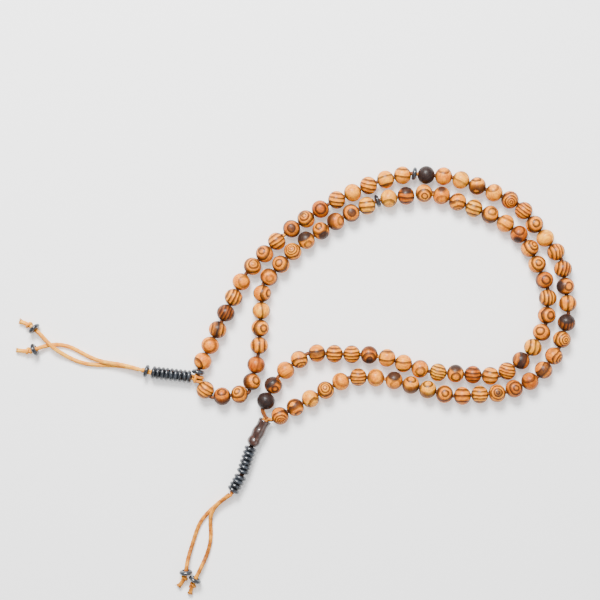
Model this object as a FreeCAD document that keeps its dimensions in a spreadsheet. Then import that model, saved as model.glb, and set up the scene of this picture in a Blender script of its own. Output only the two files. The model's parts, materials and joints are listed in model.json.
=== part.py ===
import FreeCAD, Part
import math
import os

import Sketcher
from FreeCAD import Placement, Rotation, Vector

# Mala prayer beads: one hundred rounded beads on a doubled-back loop of satin cord, a turned guru
# bead at the meeting of the two strands, and a second cord of counter discs hitched to the loop.
# The mala lies flat on a table: the table is Z = 0, the strand runs level at half a bead's width.
# X and Y are the table's directions, and the guru and its tails point towards -X and -Y.
# Lengths are in millimetres. The origin is on the table, under the middle of the strand.

os.makedirs("parts", exist_ok=True)
doc = FreeCAD.newDocument("mala")

# ---------------------------------------------------------------- driving dimensions

SIZES = (
    ("bead_length", 7.9),
    ("bead_width", 8.3),
    ("bead_gap", 0.1),
    ("bead_bore", 2.4),
    ("cord_diameter", 1.7),
    ("doubled_cord_diameter", 2.4),
    ("disc_diameter", 6.2),
    ("disc_thickness", 1.9),
    ("disc_face_diameter", 3.8),
    ("disc_rim_thickness", 1.0),
    ("disc_rim_start", 5.3),
    ("disc_bore", 3.1),
    ("guru_length", 13.0),
    ("guru_bore", 3.2),
    ("guru_mouth_diameter", 4.6),
    ("guru_mouth_depth", 0.8),
    ("guru_collar_diameter", 5.8),
    ("guru_collar_length", 0.9),
    ("guru_neck_diameter", 4.6),
    ("guru_neck_start", 2.6),
    ("guru_neck_end", 3.8),
    ("guru_waist_diameter", 5.0),
    ("guru_waist_start", 8.8),
    ("guru_waist_end", 9.4),
    ("guru_upper_swell_radius", 5.7),
    ("guru_lower_swell_radius", 2.4),
    ("guru_foot_diameter", 4.7),
    ("guru_foot_start", 12.7),
    ("hitch_length", 2.6),
    ("hitch_diameter", 3.8),
    ("hitch_bore", 2.3),
    ("knot_diameter", 3.2),
    ("knot_spread", 1.1),
    ("frayed_tip_diameter", 2.6),
    ("frayed_tip_length", 2.4),
    ("fork_ball_diameter", 2.4),
)

sheet = doc.addObject("Spreadsheet::Sheet", "Sizes")
for row, (alias, value) in enumerate(SIZES, start=1):
    sheet.set(f"A{row}", alias)
    sheet.set(f"B{row}", str(value))
    sheet.setAlias(f"B{row}", alias)
doc.recompute()


def size(alias):
    """The value of one driving dimension, in millimetres."""
    return float(sheet.get(alias))


BEAD_PITCH = size("bead_length") + size("bead_gap")
STRAND_HEIGHT = size("bead_width") / 2
DISC_HEIGHT = size("disc_diameter") / 2 + 0.01

# How far the cord may shift sideways at the mouth of a bore before it would rub the wall.
CORD_SHIFT_IN_BORE = 0.2
# A cord's ends stop this far short of a fold, so that they don't meet when the strand is folded.
FOLD_SETBACK = 0.3
# Loose pieces that stand on the table clear it by this much.
TABLE_GAP = 0.01
# The next cord begins this far from the point that it pivots about.
PIVOT_SETBACK = 1.5
# The room that the cord has for its bend at the guru's mouth.
PIVOT_ROOM = 2.6
# Share of the shorter neighbouring run that one bend may take up.
BEND_SHARE = 0.45

# ---------------------------------------------------------------- the strand's route

# Each entry is a corner of the strand's route, what lies on the straight run after it, and, where
# the beads don't lie in the middle of their run, the gap before the first of them. A number is
# that many touching beads. The route starts at the guru, goes out along the outer strand, turns at
# the counter's hitch, and comes back along the inner strand.
STRAND = (
    (-39.5, -41.0, 5),
    (-4.0, -21.0, 2),
    (12.5, -21.5, 4),
    (44.0, -30.0, 3),
    (68.0, -28.2, 2),
    (82.8, -21.2, 2),
    (92.5, -8.0, 2),
    (97.0, 8.2, 3),
    (93.6, 33.1, 4),
    (73.6, 58.6, 2),
    (58.8, 65.2, 2),
    (43.4, 70.8, 2),
    (27.4, 72.0, "disc"),
    (24.5, 72.5, 2),
    (8.8, 68.6, 3),
    (-13.5, 58.5, 3),
    (-34.0, 44.5, 3),
    (-51.5, 26.5, 3),
    (-62.5, 4.5, 3),
    (-73.0, -17.5, "disc"),
    (-73.5, -20.0, "hitch"),
    (-72.5, -23.5, 1),
    (-67.5, -30.5, 2, 1.3),
    (-50.0, -28.5, 2, 1.5),
    (-45.5, -11.0, 4),
    (-43.6, 21.8, 3),
    (-27.0, 39.6, 3),
    (-6.8, 52.5, 2),
    (8.0, 59.3, "disc"),
    (10.2, 60.2, 2),
    (26.2, 62.8, 1),
    (34.6, 63.8, 4),
    (64.6, 52.0, 2),
    (77.2, 41.9, 3),
    (87.5, 19.6, 2),
    (86.5, 3.0, 2),
    (78.3, -11.0, 2),
    (65.2, -20.8, 4),
    (32.5, -18.6, 3),
    (9.5, -11.0, 4),
    (-23.0, -10.0, 2),
    (-37.0, -21.0, 2, 0.2),
    (-44.2, -36.4, None),
)
# Corners of the route, by their place in the list, where the doubled strand folds.
GURU_FOLD = (2, 39)
TOP_FOLD = (12, 30)
LEFT_FOLD = (16, 26)
HITCH_START = 0.75

# The two strands meet at this point, just above the guru's mouth.
GURU_PIVOT = Vector(-42.0, -40.0, STRAND_HEIGHT)
GURU_MOUTH_DISTANCE = 1.0
GURU_BOTTOM = Vector(-48.8, -52.8, DISC_HEIGHT)
GURU_DISCS_BEND = Vector(-53.1, -65.8, DISC_HEIGHT)
GURU_DISCS_END = Vector(-57.9, -74.4, DISC_HEIGHT)
GURU_DISC_PITCH = 2.16

# The counter's doubled cord, from the hitch to the fork of its tails.
COUNTER_START = Vector(-76.2, -21.1, DISC_HEIGHT)
COUNTER_BEND = Vector(-95.1, -18.9, DISC_HEIGHT)
COUNTER_FORK = Vector(-99.2, -17.9, DISC_HEIGHT)
COUNTER_DISC_PITCH = 2.05
SLID_DISC_DISTANCE = 2.15

# Each tail: the points of its free cord from the fork to the knot, then the frayed tip.
TAILS = {
    "counter_tail_1": (
        (-100.7, -17.5, 4.02),
        (-105.2, -16.2, 3.2),
        (-110.6, -15.1, 2.75),
        (-116.2, -14.4, 2.5),
        (-121.3, -13.0, 1.2),
        (-126.3, -10.6, 0.87),
        (-131.6, -7.6, 0.87),
        (-136.8, -6.2, 0.87),
        (-141.9, -6.4, 1.1),
        (-146.3, -7.6, 2.9),
        (-151.2, -9.7, 2.35),
        (-156.4, -8.9, 1.45),
    ),
    "counter_tail_2": (
        (-100.7, -17.6, 2.18),
        (-105.4, -16.6, 1.2),
        (-110.8, -16.0, 0.87),
        (-116.6, -15.8, 0.87),
        (-122.2, -15.6, 0.87),
        (-127.6, -14.6, 0.87),
        (-132.6, -12.5, 0.95),
        (-136.4, -10.1, 2.4),
        (-139.4, -8.1, 3.2),
        (-142.7, -5.0, 3.2),
        (-146.4, -0.9, 2.95),
        (-151.0, 3.0, 2.35),
        (-155.0, 4.3, 1.45),
    ),
    "guru_tail_1": (
        (-59.1, -75.3, 2.18),
        (-62.9, -78.3, 1.2),
        (-67.4, -82.2, 0.87),
        (-71.6, -86.6, 0.87),
        (-74.0, -91.4, 0.87),
        (-75.6, -96.8, 0.87),
        (-77.3, -102.0, 1.4),
        (-78.6, -107.2, 3.0),
        (-79.2, -113.8, 2.35),
        (-82.0, -117.2, 1.45),
    ),
    "guru_tail_2": (
        (-59.1, -75.4, 4.02),
        (-62.2, -77.7, 3.4),
        (-65.3, -80.4, 3.1),
        (-67.4, -84.0, 2.7),
        (-67.9, -88.2, 1.1),
        (-67.5, -93.2, 0.87),
        (-68.0, -98.6, 0.87),
        (-69.7, -103.9, 1.3),
        (-72.2, -109.2, 3.0),
        (-76.1, -116.9, 2.35),
        (-77.1, -120.4, 1.45),
    ),
}
# Distance from the middle of a knot back to the middle of the disc that rests against it.
KNOT_TO_DISC = 2.9
# Each end disc leans from square to its cord by this many degrees, turned about the vertical.
END_DISC_LEANS = {"counter_tail_1": 4, "counter_tail_2": -8, "guru_tail_1": 8, "guru_tail_2": -2}

# ---------------------------------------------------------------- helpers


def level(x, y):
    """A point of the strand's route at the strand's height."""
    return Vector(x, y, STRAND_HEIGHT)


def along(start, end):
    """The unit vector from one point to another."""
    return (end - start).normalize()


def facing(direction):
    """The rotation that turns the Z axis to a direction."""
    return Rotation(Vector(0, 0, 1), direction)


def bound(kind, name, **expressions):
    """A new object whose sizes are bound to cells of the sheet."""
    item = doc.addObject(kind, name)
    for prop, expression in expressions.items():
        item.setExpression(prop, expression)
    return item


def group(name, members):
    """One object that holds several separate pieces."""
    item = doc.addObject("Part::Compound", name)
    item.Links = members
    return item


def united(name, members):
    """Several touching shapes joined to one solid."""
    item = doc.addObject("Part::MultiFuse", name)
    item.Shapes = members
    return item


def cut(name, base, tool):
    item = doc.addObject("Part::Cut", name)
    item.Base = base
    item.Tool = tool
    return item


nodes = []


def finished(item, label):
    """Marks an object as one sub-part and gives it the sub-part's name."""
    item.Label = label
    nodes.append(item)
    return item


# ---------------------------------------------------------------- cord routes


def turn_angle(before, corner, after):
    return along(before, corner).getAngle(along(corner, after))


def largest_bends(points):
    """The radius of each corner's arc on a free cord: as large as its two runs allow."""
    radii = []
    for before, corner, after in zip(points, points[1:], points[2:]):
        shorter = min(before.distanceToPoint(corner), corner.distanceToPoint(after))
        half_turn = turn_angle(before, corner, after) / 2
        radii.append(BEND_SHARE * shorter / math.tan(half_turn))
    return radii


def bends_in_bores(points, gaps):
    """The radius of each corner's arc where the cord is held in the bores on both sides.

    gaps holds the distance from each corner to the nearest bore mouth. The arc is the largest one
    that shifts the cord sideways by no more than CORD_SHIFT_IN_BORE at that mouth.
    """
    radii = []
    for before, corner, after, gap in zip(points, points[1:], points[2:], gaps):
        shorter = min(before.distanceToPoint(corner), corner.distanceToPoint(after))
        slope = math.tan(turn_angle(before, corner, after) / 2)
        shift = 2 * CORD_SHIFT_IN_BORE
        root = (math.sqrt(shift) + math.sqrt(shift + 4 * slope * gap)) / (2 * slope)
        radii.append(min(root * root, BEND_SHARE * shorter / slope))
    return radii


def route_wire(points, radii):
    """Straight runs between the points, joined by tangent arcs of the given radii."""
    edges = []
    run_start = points[0]
    for before, corner, after, radius in zip(points, points[1:], points[2:], radii):
        arriving = along(before, corner)
        leaving = along(corner, after)
        half_turn = arriving.getAngle(leaving) / 2
        arc_start = corner - arriving * (radius * math.tan(half_turn))
        arc_end = corner + leaving * (radius * math.tan(half_turn))
        inward = (leaving - arriving).normalize()
        arc_middle = corner + inward * (radius / math.cos(half_turn) - radius)
        edges.append(Part.LineSegment(run_start, arc_start).toShape())
        edges.append(Part.Arc(arc_start, arc_middle, arc_end).toShape())
        run_start = arc_end
    edges.append(Part.LineSegment(run_start, points[-1]).toShape())
    return Part.Wire(edges)


tubes = []


def tube(name, points, radii, diameter="cord_diameter"):
    """A round cord along a route."""
    path = doc.addObject("Part::Feature", f"{name}_route")
    path.Shape = route_wire(points, radii)
    section = bound("Part::Circle", f"{name}_section", Radius=f"Sizes.{diameter} / 2")
    section.Placement = Placement(points[0], facing(along(points[0], points[1])))
    sweep = doc.addObject("Part::Sweep", name)
    sweep.Sections = [section]
    sweep.Spine = (path, [])
    sweep.Solid = True
    sweep.Frenet = False
    tubes.append((sweep, path, diameter, radii))
    return sweep


# ---------------------------------------------------------------- beads


def bead_run(label, start, direction, first_gap, count):
    """A straight run of touching beads, a little wider than they are long, bored along the run."""
    turned = facing(direction)
    balls = []
    for index in range(count):
        ball = bound("Part::Ellipsoid", f"{label}_ball_{index + 1}", Radius1="Sizes.bead_length / 2",
                     Radius2="Sizes.bead_width / 2", Radius3="Sizes.bead_width / 2")
        centre = start + direction * (first_gap + (index + 0.5) * BEAD_PITCH)
        ball.Placement = Placement(centre, turned)
        balls.append(ball)
    bore = bound("Part::Cylinder", f"{label}_bore", Radius="Sizes.bead_bore / 2")
    bore.Height = count * BEAD_PITCH
    bore.Placement = Placement(start + direction * first_gap, turned)
    return finished(cut(f"{label}_run", group(f"{label}_balls", balls), bore), label)


# ---------------------------------------------------------------- discs


def profile_sketch(sketch, corners, arcs):
    """Closes a profile through the corners and binds each corner to the sheet.

    corners holds (x, y, x expression, y expression) and arcs the radius, its expression and its
    bulge side, by the number of the corner that the arc starts from.
    """
    count = len(corners)
    for index, (x, y, _, _) in enumerate(corners):
        start = Vector(x, y, 0)
        end = Vector(corners[(index + 1) % count][0], corners[(index + 1) % count][1], 0)
        if index in arcs:
            radius = arcs[index][0]
            chord = end - start
            outward = Vector(chord.y, -chord.x, 0).normalize()
            depth = math.sqrt(radius ** 2 - (chord.Length / 2) ** 2)
            middle = (start + end) * 0.5 + outward * (radius - depth)
            sketch.addGeometry(Part.Arc(start, middle, end))
        else:
            sketch.addGeometry(Part.LineSegment(start, end))
    # An arc keeps its start and end in the order in which it turns anticlockwise.
    for index in range(count):
        following = (index + 1) % count
        sketch.addConstraint(Sketcher.Constraint("Coincident", index, 2, following, 1))
    for index, (x, y, x_rule, y_rule) in enumerate(corners):
        for kind, value, rule in (("DistanceX", x, x_rule), ("DistanceY", y, y_rule)):
            if rule is None:
                sketch.addConstraint(Sketcher.Constraint("PointOnObject", index, 1, -1))
            else:
                place = sketch.addConstraint(Sketcher.Constraint(kind, -1, 1, index, 1, value))
                sketch.setExpression(f"Constraints[{place}]", rule)
    for index, (radius, rule) in arcs.items():
        place = sketch.addConstraint(Sketcher.Constraint("Radius", index, radius))
        sketch.setExpression(f"Constraints[{place}]", rule)


def half(alias):
    return size(alias) / 2, f"Sizes.{alias} / 2"


def corner(radial, height):
    """One profile corner from two (value, expression) pairs."""
    return radial[0], height[0], radial[1], height[1]


def rim_nose_radius():
    """The radius of the disc's rounded rim."""
    depth = (size("disc_diameter") - size("disc_rim_start")) / 2
    chord = size("disc_rim_thickness") / 2
    return (depth ** 2 + chord ** 2) / (2 * depth)


def make_disc_profile():
    """Half of the black disc's section: flat faces at the bore that slope to a rounded rim."""
    sketch = doc.addObject("Sketcher::SketchObject", "disc_profile")
    sketch.Placement = Placement(Vector(0, 0, 0), Rotation(Vector(1, 0, 0), 90))
    top = half("disc_thickness")
    low = (-top[0], f"-{top[1]}")
    rim_top = half("disc_rim_thickness")
    rim_low = (-rim_top[0], f"-{rim_top[1]}")
    corners = (
        corner(half("disc_bore"), low),
        corner(half("disc_face_diameter"), low),
        corner(half("disc_rim_start"), rim_low),
        corner(half("disc_rim_start"), rim_top),
        corner(half("disc_face_diameter"), top),
        corner(half("disc_bore"), top),
    )
    # The rim is the arc through its two edges and the widest point of the disc.
    reach = "(Sizes.disc_diameter - Sizes.disc_rim_start)"
    rule = f"({reach} ^ 2 + Sizes.disc_rim_thickness ^ 2) / (4 * {reach})"
    profile_sketch(sketch, corners, {2: (rim_nose_radius(), rule)})
    return sketch


disc_profile = make_disc_profile()


def disc_resting_height(direction):
    """The height of a disc's middle when it stands on the table, square to a sloping cord."""
    upright = math.sqrt(direction.x ** 2 + direction.y ** 2)
    nose = rim_nose_radius()
    return (size("disc_diameter") / 2 - nose) * upright + nose


def disc(name, centre, direction, lean=0):
    """One black disc, leaned in plan from square to its cord by some degrees."""
    item = doc.addObject("Part::Revolution", name)
    item.Source = disc_profile
    item.Axis = Vector(0, 0, 1)
    item.Base = Vector(0, 0, 0)
    item.Angle = 360
    item.Solid = True
    item.Placement = Placement(centre, Rotation(Vector(0, 0, 1), lean) * facing(direction))
    return item


def disc_stack(label, start, end, pitch, leans):
    """Black discs in a row along a straight stretch of cord, in the middle of the stretch."""
    direction = along(start, end)
    first = (start.distanceToPoint(end) - (len(leans) - 1) * pitch) / 2
    row = []
    for index, lean in enumerate(leans):
        centre = start + direction * (first + index * pitch)
        row.append(disc(f"{label}_{index + 1}", centre, direction, lean))
    return finished(group(f"{label}_row", row), label)


def evenly(first, last, count):
    """Numbers from first to last in equal steps."""
    return [first + (last - first) * index / (count - 1) for index in range(count)]


# ---------------------------------------------------------------- guru bead


def make_guru():
    """The turned guru bead: a funnel-mouthed collar, two swells and a foot, bored through."""
    body = doc.addObject("PartDesign::Body", "guru_body")
    plane = [item for item in body.Origin.OriginFeatures if item.Role == "XZ_Plane"][0]
    sketch = body.newObject("Sketcher::SketchObject", "guru_profile")
    sketch.AttachmentSupport = [(plane, "")]
    sketch.MapMode = "FlatFace"
    doc.recompute()

    def at(alias):
        return size(alias), f"Sizes.{alias}"

    floor = (0, None)
    corners = (
        corner(half("guru_mouth_diameter"), floor),
        corner(half("guru_collar_diameter"), floor),
        corner(half("guru_collar_diameter"), at("guru_collar_length")),
        corner(half("guru_neck_diameter"), at("guru_neck_start")),
        corner(half("guru_neck_diameter"), at("guru_neck_end")),
        corner(half("guru_waist_diameter"), at("guru_waist_start")),
        corner(half("guru_waist_diameter"), at("guru_waist_end")),
        corner(half("guru_foot_diameter"), at("guru_foot_start")),
        corner(half("guru_foot_diameter"), at("guru_length")),
        corner(half("guru_bore"), at("guru_length")),
        corner(half("guru_bore"), at("guru_mouth_depth")),
    )
    swells = {
        4: at("guru_upper_swell_radius"),
        6: at("guru_lower_swell_radius"),
    }
    profile_sketch(sketch, corners, swells)
    turned = body.newObject("PartDesign::Revolution", "guru_turned")
    turned.Profile = sketch
    turned.ReferenceAxis = (sketch, ["V_Axis"])
    turned.Angle = 360
    body.Tip = turned
    return body


# ---------------------------------------------------------------- build the strand

corners = [level(entry[0], entry[1]) for entry in STRAND]
# Distance from each corner of the route to the first bore mouth before it and after it.
gap_after = [0.0] * len(STRAND)
gap_before = [0.0] * len(STRAND)
# What each turning sub-part turns about: its label, a point and the axis.
spins = []

bead_number = 1
disc_number = 1
hitch_centre = None
hitch_axis = None
for index, entry in enumerate(STRAND[:-1]):
    start, end = corners[index], corners[index + 1]
    direction = along(start, end)
    length = start.distanceToPoint(end)
    content = entry[2]
    if content == "disc":
        margin = (length - size("disc_thickness")) / 2
        gap_after[index] = gap_before[index + 1] = margin
        label = f"separator_disc_{disc_number}"
        finished(disc(f"{label}_turned", (start + end) * 0.5, direction), label)
        spins.append((label, index, start, direction))
        disc_number += 1
    elif content == "hitch":
        gap_after[index] = HITCH_START
        gap_before[index + 1] = length - HITCH_START - size("hitch_length")
        hitch_axis = direction
        hitch_centre = start + direction * (HITCH_START + size("hitch_length") / 2)
    else:
        spare = length - content * BEAD_PITCH
        first_gap = entry[3] if len(entry) > 3 else spare / 2
        pole_gap = size("bead_gap") / 2
        gap_after[index] = first_gap + pole_gap
        gap_before[index + 1] = spare - first_gap + pole_gap
        last_number = bead_number + content - 1
        label = f"beads_{bead_number:03d}_to_{last_number:03d}"
        bead_run(label, start, direction, first_gap, content)
        spins.append((label, index, start, direction))
        bead_number = last_number + 1


def held_cord(name, points, gaps):
    """A cord held in bores along its route, cut short at both ends for the folds."""
    points = list(points)
    points[0] = points[0] + along(points[0], points[1]) * FOLD_SETBACK
    points[-1] = points[-1] + along(points[-1], points[-2]) * FOLD_SETBACK
    return tube(name, points, bends_in_bores(points, gaps[1:-1]))


def strand_cord(name, first, last):
    """The main cord between two folds of one strand."""
    gaps = [min(pair) for pair in zip(gap_before, gap_after)]
    return held_cord(name, corners[first:last + 1], gaps[first:last + 1])


# The cord of the guru's arm turns back at the guru's mouth: it is the end of one strand and the
# beginning of the other, in a row from fold to fold.
guru_arm_points = corners[GURU_FOLD[1]:] + [GURU_PIVOT] + corners[:GURU_FOLD[0] + 1]
guru_arm_gaps = gap_before[GURU_FOLD[1]:] + [PIVOT_ROOM] + gap_after[:GURU_FOLD[0] + 1]
finished(held_cord("guru_arm_cord", guru_arm_points, guru_arm_gaps), "main_cord_guru_arm")

middle_outer = strand_cord("middle_outer", GURU_FOLD[0], TOP_FOLD[0])
middle_inner = strand_cord("middle_inner", TOP_FOLD[1], GURU_FOLD[1])
finished(group("middle_cords", [middle_outer, middle_inner]), "main_cord_middle")

upper_outer = strand_cord("upper_outer", TOP_FOLD[0], LEFT_FOLD[0])
upper_inner = strand_cord("upper_inner", LEFT_FOLD[1], TOP_FOLD[1])
finished(group("upper_cords", [upper_outer, upper_inner]), "main_cord_upper_arm")

finished(strand_cord("left_end_cord", LEFT_FOLD[0], LEFT_FOLD[1]), "main_cord_left_end")

# ---------------------------------------------------------------- guru and its discs

guru_direction = along(GURU_PIVOT, GURU_BOTTOM)
guru = finished(make_guru(), "guru_bead")
guru_mouth = GURU_PIVOT + guru_direction * GURU_MOUTH_DISTANCE
guru.Placement = Placement(guru_mouth, facing(guru_direction))

guru_core_points = [
    GURU_PIVOT + guru_direction * PIVOT_SETBACK,
    GURU_BOTTOM,
    GURU_DISCS_BEND,
    GURU_DISCS_END,
]
GURU_CORE_GAPS = (0.3, 0.3)
guru_core = tube("guru_core", guru_core_points, bends_in_bores(guru_core_points, GURU_CORE_GAPS),
                 "doubled_cord_diameter")
guru_fork_ball = bound("Part::Sphere", "guru_fork_ball", Radius="Sizes.fork_ball_diameter / 2")
guru_fork_ball.Placement = Placement(GURU_DISCS_END, Rotation())
finished(united("guru_core_cord", [guru_core, guru_fork_ball]), "guru_cord")

disc_stack("guru_discs_upper", GURU_BOTTOM, GURU_DISCS_BEND, GURU_DISC_PITCH, evenly(-3, -3, 6))
disc_stack("guru_discs_lower", GURU_DISCS_BEND, GURU_DISCS_END, GURU_DISC_PITCH, evenly(4, -7, 4))

# ---------------------------------------------------------------- counter


def make_counter_cord():
    """The counter's doubled cord: a hitch ring round the main cord, and the core of its discs."""
    ring = bound("Part::Cylinder", "hitch_ring", Radius="Sizes.hitch_diameter / 2",
                 Height="Sizes.hitch_length")
    ring_start = hitch_centre - hitch_axis * (size("hitch_length") / 2)
    ring.Placement = Placement(ring_start, facing(hitch_axis))
    towards_discs = along(hitch_centre, COUNTER_START)
    points = [hitch_centre + towards_discs, COUNTER_START, COUNTER_BEND, COUNTER_FORK]
    radii = bends_in_bores(points, (0.3, 0.3))
    core = tube("counter_core", points, radii, "doubled_cord_diameter")
    ball = bound("Part::Sphere", "counter_fork_ball", Radius="Sizes.fork_ball_diameter / 2")
    ball.Placement = Placement(COUNTER_FORK, Rotation())
    whole = united("hitch_and_core", [ring, core, ball])
    hole = bound("Part::Cylinder", "hitch_hole", Radius="Sizes.hitch_bore / 2",
                 Height="Sizes.hitch_length * 2")
    hole.Placement = Placement(ring_start - hitch_axis, facing(hitch_axis))
    return finished(cut("counter_cord_bored", whole, hole), "counter_cord")


make_counter_cord()
disc_stack("counter_discs", COUNTER_START, COUNTER_BEND, COUNTER_DISC_PITCH, evenly(3, -7, 9))
slid_direction = along(COUNTER_BEND, COUNTER_FORK)
slid_centre = COUNTER_BEND + slid_direction * SLID_DISC_DISTANCE
finished(disc("slid_disc", slid_centre, slid_direction, -5), "counter_disc_slid")

# ---------------------------------------------------------------- tails


def make_tail(name, route):
    """A free tail cord with the knot near its end, a short frayed tip, and the loose end disc."""
    points = [Vector(*point) for point in route]
    knot, tip = points[-2], points[-1]
    direction = along(points[-3], knot)
    radii = largest_bends(points)
    cord = tube(f"{name}_tube", points, radii)
    pieces = [cord]
    for number, side in enumerate((-0.5, 0.5), start=1):
        lobe = bound("Part::Sphere", f"{name}_knot_{number}", Radius="Sizes.knot_diameter / 2")
        lobe.Placement = Placement(knot + direction * (side * size("knot_spread")), facing(direction))
        pieces.append(lobe)
    frayed = bound("Part::Cone", f"{name}_tip", Radius1="Sizes.cord_diameter / 2",
                   Radius2="Sizes.frayed_tip_diameter / 2", Height="Sizes.frayed_tip_length")
    tip_direction = along(knot, tip)
    tip_start = tip - tip_direction * size("frayed_tip_length")
    frayed.Placement = Placement(tip_start, facing(tip_direction))
    pieces.append(frayed)
    finished(united(f"{name}_whole", pieces), name)
    centre = knot - direction * KNOT_TO_DISC
    centre.z = disc_resting_height(direction) + TABLE_GAP
    finished(disc(f"{name}_stop", centre, direction, END_DISC_LEANS[name]), f"{name}_disc")


for tail_name, tail_route in TAILS.items():
    make_tail(tail_name, tail_route)

# ---------------------------------------------------------------- check and export

doc.recompute()
failed = [item.Name for item in doc.Objects if {"Invalid", "Error"} & set(item.State)]
if failed:
    raise SystemExit(f"objects that failed to build: {failed}")
for item in nodes:
    shape = item.Shape
    if shape.isNull() or not shape.isValid():
        raise SystemExit(f"{item.Label} has no valid shape")

for sweep, path, diameter, radii in tubes:
    length = path.Shape.Length
    expected = math.pi * (size(diameter) / 2) ** 2 * length
    if abs(sweep.Shape.Volume / expected - 1) > 0.01:
        raise SystemExit(f"{sweep.Name} has the wrong volume")
    bends = ", ".join(f"{radius:.1f}" for radius in radii)
    print(f"{sweep.Name}: length {length:.1f} mm, radii {bends} mm")

whole = Part.Compound([item.Shape for item in nodes])
print("nodes", len(nodes), "box", whole.BoundBox)
for item in nodes:
    item.Shape.exportStep(f"parts/{item.Label}.step")
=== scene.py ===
import json
import math

import bpy
import bmesh
from mathutils import Matrix, Vector, noise


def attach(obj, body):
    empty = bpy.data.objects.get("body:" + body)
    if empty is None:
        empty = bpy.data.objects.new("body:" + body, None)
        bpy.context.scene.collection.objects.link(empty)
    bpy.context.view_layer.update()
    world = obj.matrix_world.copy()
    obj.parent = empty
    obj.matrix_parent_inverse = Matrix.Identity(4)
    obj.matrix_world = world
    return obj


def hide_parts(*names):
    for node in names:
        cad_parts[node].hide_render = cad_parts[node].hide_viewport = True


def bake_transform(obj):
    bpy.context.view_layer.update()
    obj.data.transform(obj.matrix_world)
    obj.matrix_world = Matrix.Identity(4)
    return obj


# The looks of the mala: striped wooden beads, satin cords, black discs and the lacquered guru.
# Everything is in metres, in the CAD frame: the table is Z = 0.

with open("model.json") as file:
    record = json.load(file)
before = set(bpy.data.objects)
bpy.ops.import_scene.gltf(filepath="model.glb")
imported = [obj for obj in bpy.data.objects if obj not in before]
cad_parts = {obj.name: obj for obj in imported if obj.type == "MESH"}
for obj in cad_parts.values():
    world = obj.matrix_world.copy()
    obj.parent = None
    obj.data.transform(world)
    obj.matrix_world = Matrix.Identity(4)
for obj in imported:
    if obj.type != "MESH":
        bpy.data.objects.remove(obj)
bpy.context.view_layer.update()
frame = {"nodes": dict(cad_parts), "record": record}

MM = 0.001
BEAD_RADIUS = 3.95 * MM
BEAD_HALF_WIDTH = 4.15 * MM
CORD_RADIUS = 0.85 * MM
Z_AXIS = Vector((0, 0, 1))

JOINTS = {joint["name"]: joint for joint in frame["record"]["behaviour"]["joints"]}


def joint_place(name):
    return Vector(JOINTS[name]["pos_m"])


def joint_axis(name):
    return Vector(JOINTS[name]["axis"]).normalized()


# ------------------------------------ camera, light and floor

# The camera looks straight down; the picture's width covers VIEW_WIDTH at the beads' middles.
VIEW_CENTRE = Vector((-0.0265, 0.0143, 0.0))
VIEW_WIDTH = 0.2755
CAMERA_HEIGHT = 0.70
SENSOR_WIDTH = 36
FLOOR_HALF_SIDE = 30.0
FLOOR_LEVEL = -0.15 * MM


def make_stage():
    """The camera, the world, three lamps and the floor."""
    camera_data = bpy.data.cameras.new("camera")
    camera_data.sensor_width = SENSOR_WIDTH
    camera_data.lens = SENSOR_WIDTH * (CAMERA_HEIGHT - BEAD_RADIUS) / VIEW_WIDTH
    camera_data.clip_start = 0.01
    camera = bpy.data.objects.new("camera", camera_data)
    camera.location = VIEW_CENTRE + Vector((0, 0, CAMERA_HEIGHT))
    bpy.context.collection.objects.link(camera)
    bpy.context.scene.camera = camera

    world = bpy.data.worlds.new("studio")
    bpy.context.scene.world = world
    world.use_nodes = True
    world.node_tree.nodes["Background"].inputs["Color"].default_value = (1, 1, 1, 1)
    world.node_tree.nodes["Background"].inputs["Strength"].default_value = 0.4

    def softbox(name, place, size, power, target=VIEW_CENTRE):
        data = bpy.data.lights.new(name, "AREA")
        data.shape = "RECTANGLE"
        data.size, data.size_y = size
        data.energy = power
        light = bpy.data.objects.new(name, data)
        light.location = place
        aim = (Vector(target) - Vector(place)).to_track_quat("-Z", "Y")
        light.rotation_euler = aim.to_euler()
        bpy.context.collection.objects.link(light)

    softbox("key", (-0.16, 0.62, 0.74), (0.42, 0.3), 31.0)
    softbox("fill", (0.5, -0.5, 0.7), (0.8, 0.8), 3.0)
    softbox("lamp", (-0.16, 0.30, 0.95), (0.06, 0.06), 3.2)

    mesh = bpy.data.meshes.new("floor")
    side, level = FLOOR_HALF_SIDE, FLOOR_LEVEL
    corners = [(-side, -side, level), (side, -side, level),
               (side, side, level), (-side, side, level)]
    mesh.from_pydata(corners, [], [(0, 1, 2, 3)])
    floor = bpy.data.objects.new("floor", mesh)
    bpy.context.collection.objects.link(floor)
    mesh.materials.append(floor_material())


# ------------------------------------ material helpers


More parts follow.
